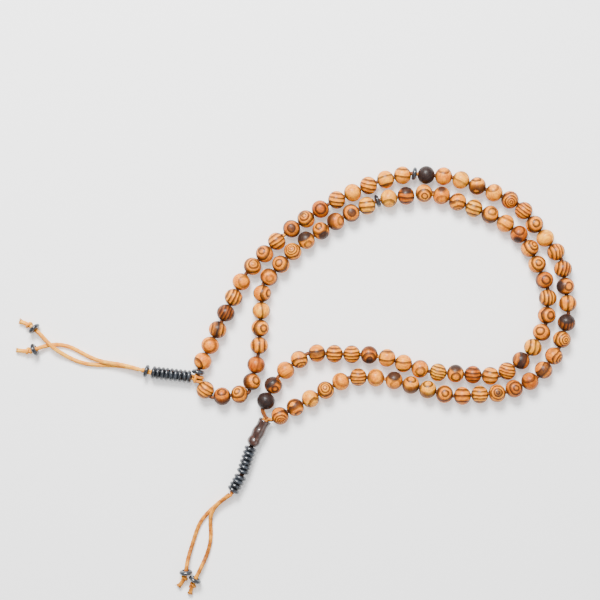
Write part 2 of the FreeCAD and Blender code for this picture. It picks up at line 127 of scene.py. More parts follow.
class Shader:
    """A small builder of node materials. Colours are linear."""

    def __init__(self, name):
        self.material = bpy.data.materials.new(name)
        self.material.use_nodes = True
        self.tree = self.material.node_tree
        self.out = self.tree.nodes["Principled BSDF"]

    def put(self, socket, value):
        if hasattr(value, "is_output"):
            self.tree.links.new(value, socket)
        elif value is not None:
            socket.default_value = value

    def node(self, kind, output=0, **settings):
        item = self.tree.nodes.new(kind)
        inputs = settings.pop("inputs", {})
        for key, value in settings.items():
            setattr(item, key, value)
        for key, value in inputs.items():
            self.put(item.inputs[key], value)
        return item.outputs[output]

    def attribute(self, name, output="Fac"):
        return self.node("ShaderNodeAttribute", output, attribute_name=name)

    def math(self, operation, a, b=None, c=None, clamp=False):
        inputs = {index: value for index, value in enumerate((a, b, c)) if value is not None}
        return self.node("ShaderNodeMath", operation=operation, use_clamp=clamp, inputs=inputs)

    def vector(self, operation, a, b=None, scale=None):
        item = self.tree.nodes.new("ShaderNodeVectorMath")
        item.operation = operation
        self.put(item.inputs[0], a)
        self.put(item.inputs[1], b)
        if scale is not None:
            self.put(item.inputs["Scale"], scale)
        return item.outputs["Value" if operation in ("LENGTH", "DOT_PRODUCT") else "Vector"]

    def noise(self, vector, scale, detail=2.0, output="Fac", roughness=0.5, dimensions="3D"):
        item = self.tree.nodes.new("ShaderNodeTexNoise")
        item.noise_dimensions = dimensions
        self.put(item.inputs["Vector"], vector)
        item.inputs["Scale"].default_value = scale
        item.inputs["Detail"].default_value = detail
        item.inputs["Roughness"].default_value = roughness
        return item.outputs[output]

    def smooth(self, value, low, high, to_low=0.0, to_high=1.0):
        inputs = {"Value": value, "From Min": low, "From Max": high, "To Min": to_low,
                  "To Max": to_high}
        return self.node("ShaderNodeMapRange", interpolation_type="SMOOTHSTEP", inputs=inputs)

    def mix(self, factor, a, b, blend="MIX"):
        item = self.tree.nodes.new("ShaderNodeMix")
        item.data_type = "RGBA"
        item.blend_type = blend
        self.put(item.inputs["Factor"], factor)
        self.put(item.inputs[6], a)
        self.put(item.inputs[7], b)
        return item.outputs[2]

    def bump(self, height, distance, strength=1.0, normal=None):
        inputs = {"Height": height, "Distance": distance, "Strength": strength}
        if normal is not None:
            inputs["Normal"] = normal
        return self.node("ShaderNodeBump", inputs=inputs)

    def finish(self, **inputs):
        for key, value in inputs.items():
            self.put(self.out.inputs[key.replace("_", " ")], value)
        return self.material


def colour(red, green, blue):
    """A linear colour from the usual 0 to 255 screen values."""
    def linear(value):
        value /= 255
        return value / 12.92 if value <= 0.04045 else ((value + 0.055) / 1.055) ** 2.4
    return (linear(red), linear(green), linear(blue), 1.0)


def floor_material():
    shader = Shader("paper_floor")
    place = shader.node("ShaderNodeTexCoord", "Object")
    grain = shader.noise(place, 900.0, 3.0)
    tone = shader.mix(grain, (0.82, 0.82, 0.82, 1), (0.85, 0.85, 0.85, 1))
    return shader.finish(Base_Color=tone, Roughness=0.9, Specular_IOR_Level=0.1,
                         Emission_Color=tone, Emission_Strength=0.6)


WIDEST_LATE_WOOD = 1.15


def bead_material():
    """Turned striped wood: growth rings round a pith, fibres along it, a waxed surface.

    The wood attribute is a place in the plank in millimetres, its Z along the pith.
    """
    shader = Shader("bead_wood")
    wood = shader.attribute("wood", "Vector")
    base = shader.attribute("base", "Color")
    spacing = shader.attribute("ring_spacing")
    strength = shader.attribute("ring_strength")
    seed = shader.attribute("seed")
    patch = shader.attribute("patch")

    drift = shader.vector("SUBTRACT", shader.noise(wood, 0.22, 1.0, "Color"), (0.5, 0.5, 0.5))
    bent = shader.vector("ADD", wood, shader.vector("SCALE", drift, scale=1.0))
    across = shader.vector("LENGTH", shader.vector("MULTIPLY", bent, (1, 1, 0)))
    ragged = shader.noise(shader.vector("MULTIPLY", wood, (1, 1, 0.35)), 2.6, 2.0)
    across = shader.math("ADD", across, shader.math("MULTIPLY", ragged, 0.12))
    count = shader.math("ADD", shader.math("DIVIDE", across, spacing), seed)
    ring = shader.math("FLOOR", count)
    share = shader.math("FRACT", count)
    chance = shader.node("ShaderNodeTexWhiteNoise", "Value", noise_dimensions="2D",
                         inputs={"Vector": shader.node("ShaderNodeCombineXYZ",
                                                       inputs={0: ring, 1: seed})})
    chance_2 = shader.math("FRACT", shader.math("MULTIPLY", chance, 7.13))
    # Each ring's dark late wood takes a share of the spacing, but no more than WIDEST_LATE_WOOD.
    width = shader.math("MINIMUM", shader.math("MULTIPLY_ADD", chance, 0.3, 0.45),
                        shader.math("DIVIDE", WIDEST_LATE_WOOD, spacing))
    start = shader.math("SUBTRACT", 1.0, width)
    rise = shader.math("DIVIDE", shader.math("SUBTRACT", share, start), width, clamp=True)
    rise = shader.math("POWER", rise, 0.3)
    fall = shader.smooth(share, 0.95, 1.0, 1.0, 0.0)
    late = shader.math("MULTIPLY", rise, fall)
    depth = shader.math("MULTIPLY", shader.math("MULTIPLY", strength, 1.6),
                        shader.math("MULTIPLY_ADD", chance_2, 0.9, 0.6), clamp=True)
    late = shader.math("MULTIPLY", late, depth, clamp=True)

    fibre = shader.noise(shader.vector("MULTIPLY", bent, (5.5, 5.5, 0.5)), 1.0, 3.0)
    pores = shader.noise(shader.vector("MULTIPLY", wood, (9, 9, 1.4)), 1.0, 1.0)
    pores = shader.smooth(pores, 0.62, 0.72)
    cloud = shader.noise(wood, 0.42, 3.0)

    warm = shader.mix(0.6, base, (0.72, 0.42, 0.3, 1), "MULTIPLY")
    early = shader.mix(shader.smooth(cloud, 0.4, 0.62, 0.0, 0.85), base, warm)
    early = shader.mix(shader.smooth(fibre, 0.3, 0.75, 0.0, 0.3), early,
                       shader.mix(1.0, early, (0.62, 0.4, 0.25, 1), "MULTIPLY"))
    early = shader.mix(shader.math("MULTIPLY", pores, 0.35), early, (0.16, 0.05, 0.012, 1))
    grain = shader.noise(shader.vector("MULTIPLY", bent, (1.5, 1.5, 0.45)), 1.0, 2.0)
    early = shader.mix(shader.smooth(grain, 0.34, 0.62, 0.55, 0.0), early,
                       shader.mix(1.0, early, (0.5, 0.3, 0.2, 1), "MULTIPLY"))
    dark = shader.mix(chance_2, (0.012, 0.005, 0.003, 1), (0.05, 0.015, 0.005, 1))
    tone = shader.mix(late, early, dark)
    # Stains, with a fibrous edge, and darker round the bore's mouths: partly grime, partly painted
    # shade where neighbouring beads meet.
    uneven = shader.math("MULTIPLY", shader.math("SUBTRACT", fibre, 0.5), 0.5)
    stain = shader.smooth(shader.math("ADD", patch, uneven), 0.25, 0.75, 0.0, 0.95)
    heart = shader.mix(shader.smooth(fibre, 0.35, 0.7),
                       (0.008, 0.007, 0.008, 1), (0.034, 0.017, 0.012, 1))
    tone = shader.mix(stain, tone, heart)
    mouth = shader.attribute("mouth")
    tone = shader.mix(shader.smooth(mouth, 0.64, 0.96, 0.0, 0.85), tone, (0.03, 0.011, 0.006, 1))

    relief = shader.math("ADD", shader.math("MULTIPLY", fibre, 0.5),
                         shader.math("MULTIPLY", late, -0.35))
    relief = shader.math("SUBTRACT", relief, shader.math("MULTIPLY", pores, 0.4))
    normal = shader.bump(relief, 0.00012, 0.5)
    rough = shader.math("MULTIPLY_ADD", fibre, 0.2, 0.34)
    return shader.finish(Base_Color=tone, Roughness=rough, Normal=normal, Coat_Weight=0.08,
                         Coat_Roughness=0.2, Specular_IOR_Level=0.16)


# How fast a cord's threads turn along it, in radians per millimetre, and their number round it.
THREAD_SLANT = 9.0
THREADS_ROUND = 6.5


def cord_material(name, light, mid, deep):
    """Satin cord: fine threads laid slantwise round it, with painted shade between threads and
    plies and painted glints.
    """
    shader = Shader(name)
    lay = shader.attribute("lay", "Vector")
    parts = shader.node("ShaderNodeSeparateXYZ", 0, inputs={0: lay})
    split = parts.node
    along, around = split.outputs[0], split.outputs[1]
    phase = shader.math("ADD", shader.math("MULTIPLY", along, THREAD_SLANT),
                        shader.math("MULTIPLY", around, THREADS_ROUND))
    thread = shader.math("MULTIPLY_ADD", shader.math("SINE", phase), 0.5, 0.5)
    twist = shader.math("ADD", shader.math("MULTIPLY", along, 1.5), around)
    twist_shade = shader.math("MULTIPLY_ADD", shader.math("SINE", twist), 0.5, 0.5)
    place = shader.node("ShaderNodeTexCoord", "Object")
    speck = shader.noise(place, 2600.0, 2.0)
    patch = shader.noise(place, 260.0, 2.0)
    tone = shader.mix(shader.smooth(patch, 0.36, 0.64), mid, light)
    # Painted shade and sheen along the plies' twist.
    tone = shader.mix(shader.math("MULTIPLY", twist_shade, 0.35), tone, deep)
    # Painted shade in the grooves between the threads.
    tone = shader.mix(shader.smooth(thread, 0.0, 0.45, 0.45, 0.0), tone, deep)
    # Painted glints: bright specks on the threads.
    tone = shader.mix(shader.smooth(speck, 0.54, 0.68, 0.0, 0.6), tone, light)
    relief = shader.math("ADD", thread, shader.math("MULTIPLY", speck, 0.8))
    normal = shader.bump(relief, 0.00009, 0.7)
    return shader.finish(Base_Color=tone, Roughness=0.5, Normal=normal, Specular_IOR_Level=0.2,
                         Anisotropic=0.5)


def plain_cord_material(name, light, mid, deep):
    """The same satin, plainer, for cord that hardly shows between the beads and in the discs; its
    colours are darkened as painted shade.
    """
    shader = Shader(name)
    place = shader.node("ShaderNodeTexCoord", "Object")
    speck = shader.noise(place, 2200.0, 3.0)
    patch = shader.noise(place, 300.0, 2.0)
    tone = shader.mix(shader.smooth(patch, 0.35, 0.65), mid, light)
    tone = shader.mix(shader.smooth(speck, 0.35, 0.6, 0.5, 0.0), tone, deep)
    normal = shader.bump(speck, 0.0001, 0.7)
    return shader.finish(Base_Color=tone, Roughness=0.5, Normal=normal, Specular_IOR_Level=0.2)


def disc_material():
    """Near-black polished shell with faint blue-grey clouds and turning marks."""
    shader = Shader("black_disc")
    local = shader.attribute("lay", "Vector")
    place = shader.node("ShaderNodeTexCoord", "Object")
    cloud = shader.noise(place, 420.0, 3.0)
    fine = shader.noise(place, 2400.0, 3.0)
    turning = shader.noise(shader.vector("MULTIPLY", local, (9.0, 0.4, 0.0)), 1.0, 2.0)
    tone = shader.mix(shader.smooth(cloud, 0.35, 0.7), colour(20, 22, 26), colour(48, 53, 60))
    tone = shader.mix(shader.smooth(fine, 0.62, 0.75, 0.0, 0.35), tone, colour(96, 102, 110))
    relief = shader.math("ADD", turning, shader.math("MULTIPLY", fine, 0.3))
    normal = shader.bump(relief, 0.00004, 0.5)
    rough = shader.math("MULTIPLY_ADD", cloud, 0.2, 0.18)
    return shader.finish(Base_Color=tone, Roughness=rough, Normal=normal, Specular_IOR_Level=0.6,
                         Coat_Weight=0.4, Coat_Roughness=0.12)


def guru_material():
    """Dark red-brown hardwood under gloss lacquer, its grain along the bead."""
    shader = Shader("guru_lacquer")
    local = shader.attribute("local", "Vector")
    streak = shader.noise(shader.vector("MULTIPLY", local, (1.6, 1.6, 0.28)), 1.0, 4.0)
    fine = shader.noise(shader.vector("MULTIPLY", local, (7, 7, 1.2)), 1.0, 3.0)
    cloud = shader.noise(local, 0.3, 2.0)
    tone = shader.mix(shader.smooth(streak, 0.36, 0.66), colour(28, 17, 13), colour(70, 39, 28))
    tone = shader.mix(shader.smooth(cloud, 0.4, 0.7, 0.0, 0.5), tone, colour(54, 28, 19))
    tone = shader.mix(shader.smooth(fine, 0.56, 0.72, 0.0, 0.6), tone, colour(16, 10, 8))
    normal = shader.bump(fine, 0.00006, 0.4)
    return shader.finish(Base_Color=tone, Roughness=0.34, Normal=normal, Coat_Weight=1.0,
                         Coat_Roughness=0.06, Specular_IOR_Level=0.5)


make_stage()

# ------------------------------------ mesh helpers

# A cord has two plies; where one swells out, the surface rises this many times the groove.
PLIES = 2
LOBE_RISE = 1.3


def add_object(name, vertices, faces, material, body=None, attributes=None):
    mesh = bpy.data.meshes.new(name)
    mesh.from_pydata(vertices, [], faces)
    for key, (kind, values) in (attributes or {}).items():
        layer = mesh.attributes.new(key, kind, "POINT")
        if kind == "FLOAT":
            layer.data.foreach_set("value", values)
        elif kind == "FLOAT_VECTOR":
            layer.data.foreach_set("vector", [part for item in values for part in item])
        else:
            layer.data.foreach_set("color", [part for item in values for part in item])
    mesh.materials.append(material)
    mesh.polygons.foreach_set("use_smooth", [True] * len(mesh.polygons))
    mesh.update()
    item = bpy.data.objects.new(name, mesh)
    bpy.context.collection.objects.link(item)
    if body:
        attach(item, body)
    return item


def lathe(profile, steps):
    """Turns a closed profile of (radius, height) points round the Z axis."""
    vertices, faces = [], []
    count = len(profile)
    for step in range(steps):
        angle = math.tau * step / steps
        for radius, height in profile:
            vertices.append(Vector((radius * math.cos(angle), radius * math.sin(angle), height)))
    for step in range(steps):
        here, there = step * count, (step + 1) % steps * count
        for index in range(count):
            after = (index + 1) % count
            faces.append((here + index, there + index, there + after, here + after))
    return vertices, faces


def turned_to(direction):
    """The turn that takes the Z axis to a direction."""
    return direction.to_track_quat("Z", "Y").to_matrix()


def solids_of(node):
    """The separate solids of a CAD node: the middle and the points of each."""
    mesh = bmesh.new()
    mesh.from_mesh(frame["nodes"][node].data)
    bmesh.ops.remove_doubles(mesh, verts=mesh.verts, dist=1e-6)
    mesh.verts.ensure_lookup_table()
    seen, found = set(), []
    for start in mesh.verts:
        if start.index in seen:
            continue
        seen.add(start.index)
        pending, points = [start], []
        while pending:
            vertex = pending.pop()
            points.append(vertex.co.copy())
            for edge in vertex.link_edges:
                other = edge.other_vert(vertex)
                if other.index not in seen:
                    seen.add(other.index)
                    pending.append(other)
        low = Vector([min(point[axis] for point in points) for axis in range(3)])
        high = Vector([max(point[axis] for point in points) for axis in range(3)])
        found.append(((low + high) / 2, points))
    mesh.free()
    return found


def curve_points(name, points, spacing=0.3 * MM):
    """Points read from the smooth spline that has the given control points."""
    data = bpy.data.curves.new(name + "_line", "CURVE")
    data.dimensions = "3D"
    data.resolution_u = 24
    spline = data.splines.new("NURBS")
    spline.points.add(len(points) - 1)
    for place, point in zip(spline.points, points):
        place.co = (*point, 1.0)
    spline.order_u = 3
    spline.use_endpoint_u = True
    item = bpy.data.objects.new(name + "_line", data)
    bpy.context.collection.objects.link(item)
    bpy.context.view_layer.update()
    mesh = bpy.data.meshes.new_from_object(item)
    line = [vertex.co.copy() for vertex in mesh.vertices]
    bpy.data.objects.remove(item)
    bpy.data.curves.remove(data)
    bpy.data.meshes.remove(mesh)
    return evenly_spaced(line, spacing)


def evenly_spaced(line, spacing):
    """Points at equal distances along a line."""
    lengths = [0.0]
    for before, after in zip(line, line[1:]):
        lengths.append(lengths[-1] + (after - before).length)
    count = max(2, round(lengths[-1] / spacing))
    result, index = [], 0
    for step in range(count + 1):
        target = lengths[-1] * step / count
        while index < len(line) - 2 and lengths[index + 1] < target:
            index += 1
        run = lengths[index + 1] - lengths[index]
        share = 0 if run == 0 else (target - lengths[index]) / run
        result.append(line[index].lerp(line[index + 1], min(1.0, share)))
    return result


def sweep(line, radius, around=20, pitch=4.2 * MM, groove=0.1, phase=0.0, taper=None):
    """A twisted cord's surface along a line of points, with its lay as an attribute."""
    vertices, faces, lay = [], [], []
    tangents = []
    for index in range(len(line)):
        before, after = line[max(0, index - 1)], line[min(len(line) - 1, index + 1)]
        tangents.append((after - before).normalized())
    side = tangents[0].orthogonal().normalized()
    if abs(tangents[0].z) < 0.9:
        side = tangents[0].cross(Z_AXIS).normalized()
    travelled = 0.0
    for index, (point, tangent) in enumerate(zip(line, tangents)):
        side = (side - tangent * side.dot(tangent)).normalized()
        up = tangent.cross(side)
        if index:
            travelled += (point - line[index - 1]).length
        share = index / (len(line) - 1)
        size = radius * (taper(share) if taper else 1.0)
        turn = math.tau * travelled / pitch + phase
        for step in range(around):
            angle = math.tau * step / around
            lobe = abs(math.sin(PLIES * (angle - turn) / 2))
            reach = size * (1 - groove + groove * LOBE_RISE * lobe)
            vertices.append(point + side * (math.cos(angle) * reach)
                            + up * (math.sin(angle) * reach))
            lay.append((travelled / MM, angle - turn, 0.0))
        if index:
            base = (index - 1) * around
            for step in range(around):
                after = (step + 1) % around
                faces.append((base + step, base + after,
                              base + around + after, base + around + step))
    for ring, order in ((0, -1), (len(line) - 1, 1)):
        middle = len(vertices)
        vertices.append(line[ring].copy())
        lay.append((0.0, 0.0, 0.0))
        for step in range(around):
            pair = (ring * around + step, ring * around + (step + 1) % around)
            faces.append((*pair[::order], middle))
    return vertices, faces, lay


def add_cord(name, line, radius, material, body=None, slot=None, **shape):
    vertices, faces, lay = sweep(line, radius, **shape)
    return add_object(name, vertices, faces, material, body, {"lay": ("FLOAT_VECTOR", lay)})


# ------------------------------------ cords' materials

pale_satin = cord_material("pale_satin", (0.95, 0.45, 0.04, 1), (0.78, 0.27, 0.012, 1),
                           (0.36, 0.09, 0.005, 1))
amber_satin = cord_material("amber_satin", (0.85, 0.33, 0.02, 1), (0.36, 0.09, 0.006, 1),
                            (0.09, 0.022, 0.004, 1))
strand_satin = cord_material("strand_satin", (0.8, 0.3, 0.02, 1), (0.45, 0.12, 0.008, 1),
                             (0.12, 0.03, 0.005, 1))
# The cord inside the disc stacks, darkened: painted shade.
core_painted_shade = plain_cord_material("core_painted_shade", (0.05, 0.018, 0.006, 1), (0.03, 0.01, 0.004, 1),
                                 (0.012, 0.005, 0.003, 1))
# The strand's cord where it shows between the beads, darkened: painted shade of the gaps.
strand_painted_shade = plain_cord_material("strand_painted_shade", (0.2, 0.055, 0.01, 1), (0.1, 0.027, 0.006, 1),
                                   (0.03, 0.009, 0.004, 1))

# ------------------------------------ free tails

# The tails' routes: the same points as the CAD routes, in metres.
TAILS = {
    "counter_tail_1": (
        (-0.1007, -0.0175, 0.00402),
        (-0.1052, -0.0162, 0.0032),
        (-0.1106, -0.0151, 0.00275),
        (-0.1162, -0.0144, 0.0025),
        (-0.1213, -0.0130, 0.0012),
        (-0.1263, -0.0106, 0.00087),
        (-0.1316, -0.0076, 0.00087),
        (-0.1368, -0.0062, 0.00087),
        (-0.1419, -0.0064, 0.0011),
        (-0.1463, -0.0076, 0.0029),
        (-0.1512, -0.0097, 0.00235),
        (-0.1564, -0.0089, 0.00145),
    ),
    "counter_tail_2": (
        (-0.1007, -0.0176, 0.00218),
        (-0.1054, -0.0166, 0.0012),
        (-0.1108, -0.0160, 0.00087),
        (-0.1166, -0.0158, 0.00087),
        (-0.1222, -0.0156, 0.00087),
        (-0.1276, -0.0146, 0.00087),
        (-0.1326, -0.0125, 0.00095),
        (-0.1364, -0.0101, 0.0024),
        (-0.1394, -0.0081, 0.0032),
        (-0.1427, -0.0050, 0.0032),
        (-0.1464, -0.0009, 0.00295),
        (-0.1510, 0.0030, 0.00235),
        (-0.1550, 0.0043, 0.00145),
    ),
    "guru_tail_1": (
        (-0.0591, -0.0753, 0.00218),
        (-0.0629, -0.0783, 0.0012),
        (-0.0674, -0.0822, 0.00087),
        (-0.0716, -0.0866, 0.00087),
        (-0.0740, -0.0914, 0.00087),
        (-0.0756, -0.0968, 0.00087),
        (-0.0773, -0.1020, 0.0014),
        (-0.0786, -0.1072, 0.0030),
        (-0.0792, -0.1138, 0.00235),
        (-0.0820, -0.1172, 0.00145),
    ),
    "guru_tail_2": (
        (-0.0591, -0.0754, 0.00402),
        (-0.0622, -0.0777, 0.0034),
        (-0.0653, -0.0804, 0.0031),
        (-0.0674, -0.0840, 0.0027),
        (-0.0679, -0.0882, 0.0011),
        (-0.0675, -0.0932, 0.00087),
        (-0.0680, -0.0986, 0.00087),
        (-0.0697, -0.1039, 0.0013),
        (-0.0722, -0.1092, 0.0030),
        (-0.0761, -0.1169, 0.00235),
        (-0.0771, -0.1204, 0.00145),
    ),
}
# The place of each tail's route point that is the middle of its knot, counted from the end.
KNOT_POINT = -2
# A tail looks a little thicker than the cord in the beads, which press it.
TAIL_RADIUS = CORD_RADIUS * 1.14
KNOT_CORD_RADIUS = 0.82 * MM
# The splayed threads at a cut end: their radius, how low they lie, the bundle's radius where they
# start, and the angle between one and the next round the bundle.
THREAD_RADIUS = 0.17 * MM
LOWEST_THREAD = 0.16 * MM
TIP_ROOT_RADIUS = 0.62 * MM
GOLDEN_ANGLE = 2.399963


def knot_line(middle, direction, turns=1.6, reach=1.02 * MM, advance=3.1 * MM, phase=0.0):
    """The line of a cord wound round itself: a tightened overhand knot."""
    side = direction.cross(Z_AXIS).normalized()
    up = side.cross(direction).normalized()
    line = []
    steps = 90
    for step in range(steps + 1):
        share = step / steps
        swell = math.sin(math.pi * share) ** 0.55
        angle = math.tau * turns * share + phase
        offset = side * math.cos(angle) + up * math.sin(angle)
        line.append(middle + direction * ((share - 0.5) * advance) + offset * (reach * swell))
    return line


def add_tip(name, start, direction, material, body, seed, length=3.2 * MM, spread=1.5 * MM):
    """The cut end of a cord: its threads splay out as a flat little brush."""
    vertices, faces, lay = [], [], []
    side = direction.cross(Z_AXIS).normalized()
    up = side.cross(direction).normalized()
    threads = 34
    for index in range(threads):
        angle = GOLDEN_ANGLE * index
        reach = math.sqrt((index + 0.5) / threads)
        bend = noise.noise(Vector((index * 1.7, seed, 0.3)))
        end_reach = spread * reach * (0.85 + 0.5 * bend)
        line = []
        for step in range(8):
            share = step / 7
            grow = TIP_ROOT_RADIUS * reach * (1 - share) + end_reach * share ** 1.3
            curl = bend * 0.25 * MM * share * share
            point = start + direction * (length * share * (1 + 0.18 * bend))
            point = point + side * (math.cos(angle) * grow + curl)
            point = point + up * (math.sin(angle) * grow * 0.62)
            point.z = max(point.z, LOWEST_THREAD)
            line.append(point)
        thread, thread_faces, thread_lay = sweep(line, THREAD_RADIUS, around=6, groove=0.0,
                                                 taper=lambda share: 1.0 - 0.35 * share)
        first = len(vertices)
        vertices += thread
        lay += thread_lay
        faces += [tuple(first + corner for corner in face) for face in thread_faces]
    return add_object(name, vertices, faces, material, body, {"lay": ("FLOAT_VECTOR", lay)})


def make_tail(name, material, slot, seed):
    """One tail: its cord, its knot and its splayed tip."""
    body = "counter_tails" if name.startswith("counter") else "guru_tails"
    controls = [Vector(point) for point in TAILS[name]]
    line = curve_points(name, controls)
    length = sum((after - before).length for before, after in zip(line, line[1:]))
    knot = min(line, key=lambda point: (point - controls[KNOT_POINT]).length)
    place = line.index(knot)
    direction = (line[place + 3] - line[place - 3]).normalized()
    cord = add_cord(name + "_cord", line, TAIL_RADIUS, material, body, slot,
                    pitch=5.0 * MM, groove=0.07, around=24, phase=seed)
    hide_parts(name)
    wound = evenly_spaced(knot_line(knot, direction, phase=seed), 0.2 * MM)
    winding = add_cord(name + "_knot", wound, KNOT_CORD_RADIUS, material, body, slot, groove=0.05,
                       around=18,
                       taper=lambda share: 0.55 + 0.45 * math.sin(math.pi * share) ** 0.5)
    end = (line[-1] - line[-6]).normalized()
    tip = add_tip(name + "_tip", line[-9], end, material, body, seed)
    return cord, line, length, [winding, tip]


for number, tail in enumerate(TAILS):
    satin, finish = amber_satin, "guru_tail_cord"
    if tail.startswith("counter"):
        satin, finish = pale_satin, "counter_cord"
    make_tail(tail, satin, finish, 1.3 + number)

# ------------------------------------ discs

shell = disc_material()
DISC_STEPS = 72


def disc_profile(seed):
    """The closed section of one disc, a little different for each one."""
    wear = 0.04 * MM * noise.noise(Vector((seed, 4.1, 0.2)))
    face, rim, bore = 0.97 * MM, 0.64 * MM, 1.5 * MM
    profile = [(bore, -face * 0.9), (bore + 0.1 * MM, -face)]
    profile += [(2.0 * MM, -face), (2.3 * MM, -face * 0.96), (2.55 * MM, -0.80 * MM)]
    profile += [(2.76 * MM, -rim), (2.93 * MM, -0.42 * MM), (3.05 * MM + wear, -0.2 * MM)]
    profile += [(3.08 * MM + wear, 0.0)]
    return profile + [(radius, -height) for radius, height in reversed(profile[:-1])]


def add_discs(node, seed):
    """Detailed discs in place of a CAD node of discs, each on its solid's middle and axis."""
    vertices, faces, lay = [], [], []
    for number, (middle, points) in enumerate(solids_of(node)):
        axis = thin_direction(points, middle)
        turned = turned_to(axis)
        ring, ring_faces = lathe(disc_profile(seed + number), DISC_STEPS)
        first = len(vertices)
        vertices += [middle + turned @ point for point in ring]
        lay += [(point.xy.length / MM, math.atan2(point.y, point.x), 0.0) for point in ring]
        faces += [tuple(first + corner for corner in face) for face in ring_faces]
    item = add_object(node + "_shell", vertices, faces, shell, node,
                      {"lay": ("FLOAT_VECTOR", lay)})
    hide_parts(node)
    return item


def thin_direction(points, middle):
    """The direction in which a cloud of points is thinnest: a disc's axis."""
    offsets = [point - middle for point in points]
    spread = [[sum(offset[a] * offset[b] for offset in offsets) for b in range(3)]
              for a in range(3)]
    inverse = Matrix(spread).inverted()
    guess = Vector((0.6, 0.5, 0.1)).normalized()
    rounds = 60
    for _ in range(rounds):
        guess = (inverse @ guess).normalized()
    return guess


DISC_NODES = ("separator_disc_1", "separator_disc_2", "separator_disc_3", "guru_discs_upper",
              "guru_discs_lower", "counter_discs", "counter_disc_slid",
              *(tail + "_disc" for tail in TAILS))
disc_pieces = {node: add_discs(node, 10 * number) for number, node in enumerate(DISC_NODES)}

# ------------------------------------ beads

# The early wood's linear colours, from pale to nearly black.
TONES = (
    (1.00, 0.395, 0.018),
    (0.90, 0.310, 0.010),
    (0.56, 0.155, 0.006),
    (0.23, 0.062, 0.007),
    (0.03, 0.014, 0.010),
)

